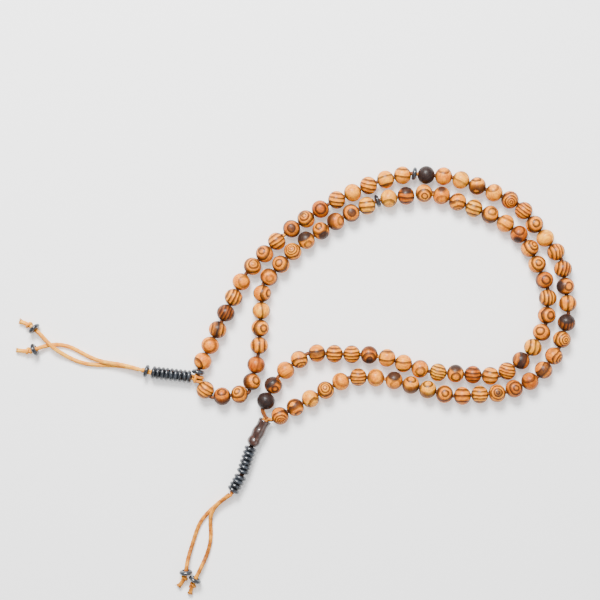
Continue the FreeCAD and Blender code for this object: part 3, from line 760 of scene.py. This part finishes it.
# How each bead was cut from the plank, as seen from above, in the strand's order. An eye is where
# the growth rings centre on the bead's top: its direction in degrees and its distance from the
# middle. Stripes run in a direction in degrees. Then the rings' spacing in millimetres, their
# strength, the wood's tone, and for a dark stain its direction and how far it spreads.
EYE, STRIPE = "eye", "stripe"
BEADS = (
    (EYE, -75, 0.7, 0.6, 1.0, 1),
    (EYE, -60, 0.85, 1.6, 0.9, 1),
    (EYE, -50, 0.8, 2.4, 0.7, 0),
    (EYE, 100, 0.35, 0.9, 1.0, 1),
    (EYE, 50, 0.5, 2.6, 0.35, 1),
    (STRIPE, 0, 0, 0.95, 1.0, 0),
    (EYE, 90, 0.2, 2.6, 0.4, 0),
    (EYE, -70, 0.5, 2.0, 0.6, 1, 90, 0.45),
    (EYE, 90, 0.75, 1.7, 1.0, 1),
    (EYE, 90, 0.75, 1.8, 1.0, 0),
    (EYE, 90, 0.15, 1.4, 0.9, 1),
    (STRIPE, 0, 0, 1.6, 1.0, 1),
    (STRIPE, 0, 0, 1.0, 1.0, 0),
    (EYE, 90, 0.15, 0.85, 1.0, 1, 90, 0.16),
    (EYE, 45, 0.15, 1.2, 0.9, 2),
    (EYE, 120, 0.7, 2.4, 0.6, 2),
    (STRIPE, 50, 0, 1.5, 0.6, 1, 0, 0.16),
    (EYE, -30, 0.75, 0.9, 1.0, 1),
    (EYE, -10, 0.35, 0.75, 1.0, 1),
    (STRIPE, 90, 0, 0.9, 1.0, 3, 90, 0.55),
    (STRIPE, 90, 0, 1.7, 0.9, 1),
    (EYE, 0, 0.25, 1.6, 1.0, 1, 180, 0.35),
    (STRIPE, 80, 0, 0.95, 1.0, 1),
    (STRIPE, 105, 0, 1.0, 1.0, 1),
    (STRIPE, 10, 0, 3.0, 0.1, 0),
    (EYE, 60, 0.15, 1.5, 1.0, 1),
    (STRIPE, -35, 0, 0.9, 1.0, 1),
    (EYE, -80, 0.35, 0.75, 1.0, 1),
    (EYE, 110, 0.7, 2.2, 0.7, 0),
    (EYE, 100, 0.8, 1.6, 0.9, 1),
    (STRIPE, -30, 0, 2.6, 0.45, 0),
    (EYE, 90, 0.8, 2.2, 0.6, 1),
    (STRIPE, 20, 0, 1.0, 0.5, 4, 0, 1.5),
    (STRIPE, -5, 0, 2.2, 0.8, 0),
    (STRIPE, 15, 0, 2.4, 0.6, 0, -90, 0.1),
    (STRIPE, -12, 0, 1.2, 1.0, 1),
    (EYE, 90, 0.3, 3.0, 0.2, 0),
    (STRIPE, -8, 0, 1.2, 1.0, 0),
    (EYE, 0, 0.0, 2.0, 0.8, 2),
    (EYE, 130, 0.45, 0.95, 1.0, 1, 130, 0.14),
    (EYE, 0, 0.0, 1.6, 0.8, 2, 0, 0.16),
    (STRIPE, 35, 0, 1.1, 1.0, 1),
    (EYE, 135, 0.45, 1.4, 0.7, 1, 135, 0.1),
    (EYE, 60, 0.3, 0.95, 0.6, 0),
    (EYE, 0, 0.4, 2.2, 0.6, 1),
    (STRIPE, 65, 0, 1.1, 1.0, 1),
    (STRIPE, 65, 0, 0.95, 0.9, 3),
    (STRIPE, 80, 0, 1.6, 0.8, 1, 0, 0.18),
    (EYE, 0, 0.0, 2.4, 0.5, 1),
    (EYE, -150, 0.8, 2.4, 0.8, 1),
    (STRIPE, -35, 0, 1.0, 1.0, 1),
    (EYE, 90, 0.55, 1.6, 1.0, 2),
    (EYE, 120, 0.5, 1.2, 1.0, 1),
    (EYE, 20, 0.6, 1.6, 0.9, 1),
    (STRIPE, 80, 0, 2.6, 0.5, 2, 0, 0.1),
    (STRIPE, 90, 0, 1.6, 1.0, 1),
    (EYE, 0, 0.45, 1.5, 0.9, 1),
    (STRIPE, 90, 0, 2.6, 0.6, 0),
    (EYE, 0, 0.8, 1.4, 0.9, 1),
    (EYE, -60, 0.2, 1.5, 0.5, 1),
    (EYE, 150, 0.3, 1.5, 0.8, 1),
    (EYE, 120, 0.3, 0.7, 0.9, 1),
    (EYE, -60, 0.6, 1.6, 0.7, 1, 120, 0.5),
    (EYE, 120, 0.6, 1.4, 0.8, 1, -60, 0.35),
    (EYE, 0, 0.6, 1.6, 0.7, 1),
    (EYE, 0, 0.05, 1.6, 0.7, 1, 0, 0.2),
    (STRIPE, 5, 0, 1.5, 0.9, 0),
    (EYE, -90, 0.8, 2.2, 0.6, 0),
    (STRIPE, 0, 0, 1.4, 1.0, 2, 90, 0.35),
    (EYE, -90, 0.4, 1.2, 0.8, 0),
    (EYE, -90, 0.6, 2.0, 0.6, 1, 90, 0.28),
    (EYE, -90, 0.9, 1.0, 0.7, 1),
    (STRIPE, -20, 0, 1.2, 1.0, 0),
    (EYE, 60, 0.35, 1.6, 0.8, 1, 60, 0.12),
    (STRIPE, -25, 0, 2.2, 0.5, 0),
    (EYE, 100, 0.5, 2.0, 0.7, 2, -110, 0.28),
    (EYE, 45, 0.55, 1.0, 1.0, 1),
    (EYE, 60, 0.2, 1.3, 1.0, 1),
    (EYE, 0, 0.05, 1.7, 1.0, 2),
    (STRIPE, 90, 0, 1.0, 1.0, 0),
    (EYE, 0, 0.35, 1.5, 1.0, 1),
    (EYE, 150, 0.4, 1.7, 0.8, 1),
    (STRIPE, 75, 0, 1.4, 0.8, 0),
    (STRIPE, 75, 0, 1.5, 0.7, 2, 0, 0.22),
    (STRIPE, -12, 0, 0.85, 1.0, 1),
    (STRIPE, -5, 0, 1.4, 0.9, 0),
    (STRIPE, 0, 0, 1.1, 1.0, 2),
    (EYE, -90, 0.4, 1.8, 0.9, 1, 90, 0.35),
    (STRIPE, -15, 0, 0.9, 1.0, 0),
    (EYE, -90, 0.3, 1.8, 0.7, 1, -90, 0.1),
    (STRIPE, 0, 0, 2.3, 0.8, 0),
    (STRIPE, 0, 0, 2.3, 0.9, 0),
    (EYE, -90, 0.5, 1.2, 1.0, 2, -90, 0.28),
    (STRIPE, 0, 0, 0.95, 1.0, 1),
    (STRIPE, 0, 0, 1.05, 1.0, 1),
    (STRIPE, 10, 0, 2.0, 1.0, 1, 100, 0.12),
    (EYE, -70, 0.8, 0.95, 1.0, 0),
    (STRIPE, 30, 0, 2.6, 0.2, 1),
    (EYE, -60, 0.5, 1.4, 1.0, 2, 130, 0.5),
    (STRIPE, 20, 0, 1.0, 0.5, 4, 135, 0.95),
)

# Beads whose dark stain lies on the middle of the top.
CENTRED_STAINS = (14, 33, 41, 66)
# Beads whose stain is a dark layer of the plank, in their stripes' direction.
BANDED_STAINS = (17, 48, 84, 96)
# The rings' spacing is the listed one times this, and the pith of a striped bead's plank lies this
# far to the side of the bead and this far under its middle, in millimetres.
STRIPE_SPACING, EYE_SPACING = 1.6, 1.35
PITH_ASIDE, PITH_SWAY, PITH_UNDER = 13, 3, 1.2
# How far along the strand's planks one bead's wood lies from the next, in millimetres.
PLANK_STEP = 37.0

bead_wood = bead_material()


def bead_profile():
    """The closed section of a bead: the ball, the eased mouths and the bore."""
    bore, eased, mouth = 0.98 * MM, 1.04 * MM, 1.1 * MM
    edge = math.acos(mouth / BEAD_HALF_WIDTH)
    steps = 34
    profile = []
    for step in range(steps + 1):
        angle = -edge + 2 * edge * step / steps
        profile.append((BEAD_HALF_WIDTH * math.cos(angle), BEAD_RADIUS * math.sin(angle)))
    top = profile[-1][1]
    profile.append((eased, top - 0.03 * MM))
    profile.append((bore, top - 0.22 * MM))
    profile.append((bore, -top + 0.22 * MM))
    profile.append((eased, -top + 0.03 * MM))
    return profile


def grain_of(code, number):
    """The turn from the bead to its wood's frame, whose Z runs along the pith, and the offset."""
    kind, angle, reach = code[0], math.radians(code[1]), code[2]
    outwards = Vector((math.cos(angle), math.sin(angle), 0))
    if kind == EYE:
        pith = outwards * reach + Z_AXIS * math.sqrt(max(0.03, 1 - reach * reach))
        offset = Vector((0, 0, 0))
    else:
        pith = (outwards + Z_AXIS * 0.10 * math.sin(number * 2.3)).normalized()
        aside = PITH_ASIDE + PITH_SWAY * math.sin(number * 1.7)
        offset = Vector((-outwards.y, outwards.x, 0)) * aside - Z_AXIS * PITH_UNDER
    turned = turned_to(pith.normalized()).transposed()
    return turned, turned @ offset + Vector((0, 0, PLANK_STEP * number))


BEAD_STEPS = 56
ball, ball_faces = lathe(bead_profile(), BEAD_STEPS)


def stain_pole_of(number, towards):
    """The middle of a bead's stain: on its shoulder in a direction, or on its top."""
    pole = Vector((math.cos(towards) * 0.75, math.sin(towards) * 0.75, 0.66))
    if number in CENTRED_STAINS:
        pole = Vector((0.05, 0.05, 1.0))
    return pole.normalized()


def add_beads(node):
    """One node's beads, each turned from its own piece of wood."""
    axis = joint_axis(node + "_spin")
    turned = turned_to(axis)
    first_number = int(node.split("_")[1])
    solids = sorted(solids_of(node), key=lambda solid: solid[0].dot(axis))
    vertices, faces = [], []
    wood, base, spacing, strength, seeds, patches, mouths = [], [], [], [], [], [], []
    for place, (middle, _) in enumerate(solids):
        number = first_number + place
        code = BEADS[number - 1]
        kind, direction, _, gap, bold, shade_number = code[:6]
        striped = kind == STRIPE
        grain, offset = grain_of(code, number)
        shade = 1.0 + 0.07 * math.sin(number * 5.1)
        red, green, blue = TONES[shade_number]
        tone = (min(1.0, red * shade), green * shade * shade, blue * shade * shade, 1.0)
        stain_direction, stain = code[6:] or (0.0, 0.0)
        stain_pole = stain_pole_of(number, math.radians(stain_direction))
        turn = math.radians(direction)
        stripe_side = Vector((-math.sin(turn), math.cos(turn), 0.0))
        first = len(vertices)
        for point in ball:
            local = turned @ point
            worn = 1 + 0.006 * noise.noise(local * 350 + Vector((number * 3.1, 0, 0)))
            vertices.append(middle + local * min(1.0, worn))
            wood.append(grain @ (local / MM) + offset)
            # How near the bore's mouth a point lies, for the darkening there: painted shade where
            # beads meet, partly grime.
            mouths.append(abs(point.z) / BEAD_RADIUS)
            nearness = local.normalized().dot(stain_pole)
            if number in BANDED_STAINS:
                across = local.normalized().dot(stripe_side)
                nearness = math.sqrt(max(0.0, 1 - across * across))
            reach = math.cos(min(2.6, stain * 1.65 + 0.1))
            patches.append(0.5 + 2.4 * (nearness - reach) if stain else 0.0)
        faces += [tuple(first + corner for corner in face) for face in ball_faces]
        base += [tone] * len(ball)
        spacing += [gap * (STRIPE_SPACING if striped else EYE_SPACING)] * len(ball)
        strength += [bold] * len(ball)
        seeds += [number * 1.37 % 9 if striped else float(number % 9)] * len(ball)
    item = add_object(node + "_wood", vertices, faces, bead_wood, node, {
        "wood": ("FLOAT_VECTOR", wood),
        "base": ("FLOAT_COLOR", base),
        "ring_spacing": ("FLOAT", spacing),
        "ring_strength": ("FLOAT", strength),
        "seed": ("FLOAT", seeds),
        "patch": ("FLOAT", patches),
        "mouth": ("FLOAT", mouths),
    })
    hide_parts(node)


for node in sorted(frame["nodes"]):
    if node.startswith("beads_"):
        add_beads(node)

# ------------------------------------ guru bead

# The guru's closed section, as radius and height in millimetres from its mouth at the strand.
GURU_PROFILE = (
    (1.60, 0.8), (1.95, 0.35), (2.30, 0.04), (2.55, 0.0), (2.82, 0.05), (2.90, 0.25), (2.88, 0.75),
    (2.84, 1.15), (2.74, 1.8), (2.66, 2.5), (2.62, 3.0), (2.62, 3.5), (2.66, 3.85), (2.76, 4.4),
    (2.90, 5.0), (3.02, 5.7), (3.08, 6.3), (3.04, 6.9), (2.96, 7.5), (2.84, 8.2), (2.74, 8.7),
    (2.70, 9.0), (2.72, 9.35), (2.82, 9.7), (2.95, 10.2), (3.07, 10.8), (3.08, 11.2), (3.00, 11.75),
    (2.84, 12.2), (2.60, 12.55), (2.38, 12.75), (2.30, 12.9), (2.15, 13.0), (1.75, 13.0),
    (1.60, 12.85),
)
# The outside, but not the bore, is made wider by this; the bore's radius is under BORE_LIMIT. The
# mouth is GURU_MOUTH_DISTANCE from the place that the guru turns about.
GURU_WIDENING = 1.04
GURU_MOUTH_DISTANCE = 1.0
BORE_LIMIT = 1.8
GURU_STEPS = 96


def make_guru():
    """The guru bead, turned about its joint's axis."""
    axis = joint_axis("guru_bead_spin")
    mouth = joint_place("guru_bead_spin") + axis * GURU_MOUTH_DISTANCE * MM
    turned = turned_to(axis)
    rounded = []
    count = len(GURU_PROFILE)
    for index, (radius, height) in enumerate(GURU_PROFILE):
        after = GURU_PROFILE[(index + 1) % count]
        wide = GURU_WIDENING if radius > BORE_LIMIT else 1.0
        rounded.append((radius * wide * MM, height * MM))
        rounded.append(((radius + after[0]) / 2 * wide * MM, (height + after[1]) / 2 * MM))
    ring, faces = lathe(rounded, GURU_STEPS)
    vertices = [mouth + turned @ point for point in ring]
    local = [point / MM for point in ring]
    item = add_object("guru_turned", vertices, faces, guru_material(), "guru_bead",
                      {"local": ("FLOAT_VECTOR", local)})
    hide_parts("guru_bead")


make_guru()

# ------------------------------------ cords inside the discs


def add_core(name, points, body, slot, material, node=None, radius=0.64 * MM, apart=0.56 * MM):
    """Two cords lying side by side along a line, slowly twisting round each other."""
    line = evenly_spaced(points, 0.3 * MM)
    for number in (0, 1):
        strand = []
        for index, point in enumerate(line):
            before, after = line[max(0, index - 1)], line[min(len(line) - 1, index + 1)]
            tangent = (after - before).normalized()
            side = tangent.cross(Z_AXIS).normalized()
            up = side.cross(tangent).normalized()
            turn = 0.35 * math.sin(index * 0.05) + math.pi * number
            strand.append(point + side * (math.cos(turn) * apart)
                          + up * (math.sin(turn) * apart * 0.6))
        item = add_cord(f"{name}_{number + 1}", strand, radius, material, body, slot, groove=0.05,
                        around=16, pitch=5.0 * MM, phase=number)
        if node and number == 0:
            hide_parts(node)


# In millimetres: how far from the pivot the guru's core and the strand's ends lie, the length of
# the counter's row of discs, and the length of its cord from the last bend to the fork.
CORE_FROM_PIVOT, STRAND_FROM_PIVOT = 2.2, 2.4
COUNTER_ROW, COUNTER_END_RUN = 18.2, 4.22

pivot = joint_place("guru_counter_lift")
guru_axis = joint_axis("guru_bead_spin")
discs_start = joint_place("guru_discs_upper_spin")
discs_bend = joint_place("guru_discs_lower_spin")
guru_fork = joint_place("guru_tails_lift")
core_top = pivot + guru_axis * CORE_FROM_PIVOT * MM
# Inside the guru's discs the cord has darkened colours: painted shade.
add_core("guru_core", [core_top, discs_start, discs_bend, guru_fork],
         "guru_counter", "guru_tail_cord", core_painted_shade, "guru_cord", 0.55 * MM, 0.5 * MM)

hitch = joint_place("counter_lift")
hitch_axis = joint_axis("counter_lift")
core_start = joint_place("counter_discs_spin")
core_end = joint_place("counter_tails_lift")
core_axis = joint_axis("counter_discs_spin")
core_bend = core_end + joint_axis("counter_disc_slide") * COUNTER_END_RUN * MM
row_end = core_start + core_axis * COUNTER_ROW * MM
# Inside the counter's discs the cord has darkened colours, painted shade; past them it has its
# satin.
add_core("counter_core", [core_start - core_axis * 0.6 * MM, row_end],
         "counter", "counter_cord", core_painted_shade, "counter_cord")
add_core("counter_end", [row_end, core_bend, core_end], "counter", "counter_cord", pale_satin)


def add_fork(name, place, towards, body, slot, material):
    """The short stretch where the pair of cords leaves the last disc and parts into two tails."""
    for number, height in ((0, 0.92), (1, -0.92)):
        start = place - towards * 1.2 * MM
        line = [start + Z_AXIS * height * 0.35 * MM, place + Z_AXIS * height * 0.8 * MM,
                place + towards * 1.7 * MM + Z_AXIS * height * MM]
        points = curve_points(name, line, 0.2 * MM)
        add_cord(f"{name}_{number + 1}", points, CORD_RADIUS * 0.9, material, body, slot,
                 groove=0.06, pitch=5.0 * MM)


add_fork("guru_fork", guru_fork, (guru_fork - discs_bend).normalized(), "guru_counter",
         "guru_tail_cord", amber_satin)
add_fork("counter_fork", core_end, (core_end - core_bend).normalized(), "counter", "counter_cord",
         pale_satin)


def make_hitch():
    """The counter's cord hitched round the strand: two cords go round it, and the loop's bar."""
    towards = (hitch - core_start).normalized()
    along = hitch_axis - towards * hitch_axis.dot(towards)
    along.normalize()
    up = towards.cross(along)
    if up.z < 0:
        along, up = -along, -up

    def at(u, v, w):
        return hitch + (towards * u + along * v + up * w) * MM

    for number, hand in enumerate((1, -1)):
        controls = [
            at(-4.6, 0.45 * hand, -0.75), at(-3.2, 0.55 * hand, -0.3), at(-1.7, 0.8 * hand, 0.9),
            at(-0.4, 0.95 * hand, 1.75), at(1.1, 0.95 * hand, 1.35), at(1.75, 0.9 * hand, 0.0),
            at(1.1, 0.8 * hand, -1.35), at(-0.5, 0.7 * hand, -1.7), at(-1.7, 0.6 * hand, -0.9),
        ]
        line = curve_points("hitch", controls, 0.2 * MM)
        add_cord(f"hitch_turn_{number + 1}", line, 0.72 * MM, strand_satin, "counter",
                 "counter_cord", groove=0.06, around=16, pitch=4.0 * MM, phase=number)
    bar = [at(-1.9, -1.2, 0.2), at(-1.3, -1.75, 1.3), at(-0.9, -0.9, 2.3), at(-0.9, 0.9, 2.3),
           at(-1.3, 1.75, 1.3), at(-1.9, 1.2, 0.2)]
    add_cord("hitch_bar", curve_points("hitch_bar", bar, 0.2 * MM), 0.66 * MM, pale_satin,
             "counter", "counter_cord", groove=0.06, around=16)


make_hitch()

# ------------------------------------ the strand's cord


def poles(node):
    """The bores' outer ends of a node of beads, in the strand's order."""
    axis = joint_axis(node + "_spin")
    middles = sorted((solid[0] for solid in solids_of(node)), key=lambda middle: middle.dot(axis))
    return middles[0] - axis * BEAD_RADIUS, middles[-1] + axis * BEAD_RADIUS


first_start, first_end = poles("beads_001_to_005")
last_start, last_end = poles("beads_099_to_100")
# The two ends of the strand's cord leave their last beads and go down into the guru's mouth.
into_guru = pivot + guru_axis * STRAND_FROM_PIVOT * MM
near_outer = first_start + (pivot - first_start) * 0.55 + Z_AXIS * 0.5 * MM
near_inner = last_end + (pivot - last_end) * 0.6 - Z_AXIS * 0.2 * MM
side = guru_axis.cross(Z_AXIS).normalized()
for name, inside, bore_end, near, shift in (
        ("yoke_outer", first_end, first_start, near_outer, -0.55 * MM),
        ("yoke_inner", last_start, last_end, near_inner, 0.55 * MM)):
    deep = bore_end + (inside - bore_end).normalized() * 2.5 * MM
    controls = [deep, bore_end, near, pivot + side * shift * 1.2, into_guru + side * shift]
    item = add_cord(name, curve_points(name, controls, 0.2 * MM), 0.72 * MM, strand_satin,
                    slot="main_cord", groove=0.07, pitch=3.4 * MM)
    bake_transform(item)

# The strand's cord between the beads gets darkened satin: painted shade of the gaps.
for node in ("main_cord_middle", "main_cord_upper_arm", "main_cord_left_end", "main_cord_guru_arm"):
    mesh = frame["nodes"][node].data
    mesh.materials.clear()
    mesh.materials.append(strand_painted_shade)

# Short stretches of cord that bend where the strand folds.
for name, parent, child, before, after in (
        ("fold_1_outer", "middle_strand", "guru_arm", "beads_008_to_011", "beads_006_to_007"),
        ("fold_1_inner", "middle_strand", "guru_arm", "beads_090_to_092", "beads_093_to_096"),
        ("fold_2_outer", "middle_strand", "upper_arm", "beads_032_to_033", "separator_disc_1"),
        ("fold_2_inner", "middle_strand", "upper_arm", "beads_071_to_074", "beads_070_to_070"),
        ("fold_3_outer", "upper_arm", "left_end", "beads_039_to_041", "beads_042_to_044"),
        ("fold_3_inner", "upper_arm", "left_end", "beads_063_to_065", "beads_060_to_062")):
    befores = [solid[0] for solid in solids_of(before)]
    afters = [solid[0] for solid in solids_of(after)]
    pair = min(((one, other) for one in befores for other in afters),
               key=lambda two: (two[0] - two[1]).length)
    middle = (pair[0] + pair[1]) / 2
    # The stretch starts and ends inside the two beads, a fifth of the way to the middle.
    ends = [end + (middle - end) * 0.2 for end in pair]
    line = evenly_spaced([ends[0], middle, ends[1]], 0.25 * MM)
    item = add_cord(name, line, 0.84 * MM, strand_satin, slot="main_cord", groove=0.04)
    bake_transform(item)
